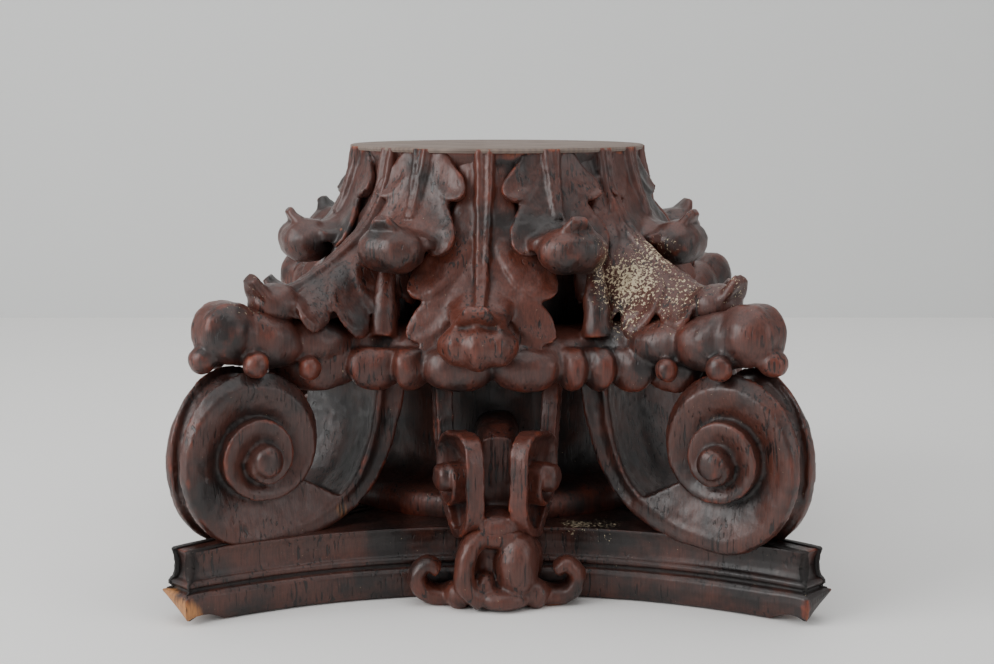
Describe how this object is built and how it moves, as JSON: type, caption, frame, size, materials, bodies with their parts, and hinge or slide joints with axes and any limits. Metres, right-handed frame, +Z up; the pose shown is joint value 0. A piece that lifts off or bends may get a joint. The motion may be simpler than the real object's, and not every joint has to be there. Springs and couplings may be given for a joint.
{
  "type": "corinthian capital",
  "caption": "Carved wooden Corinthian capital, shown upside down on its hollow-sided abacus, with acanthus leaves, corner volutes, small scrolls and flowers.",
  "frame": {"origin": "middle of the abacus's underside, which the capital stands on upside down", "axes": "+Z up from the abacus to the sawn neck disc; -Y to the side that faces the camera in the picture; the sides of the abacus lie along X and Y"},
  "size_m": [0.525, 0.5224, 0.362],
  "materials": {
    "stained_wood": "dark stained and waxed, worn to red-brown on the raised edges"
  },
  "bodies": {
    "root": {"capital": "stained_wood"}
  },
  "joints": []
}
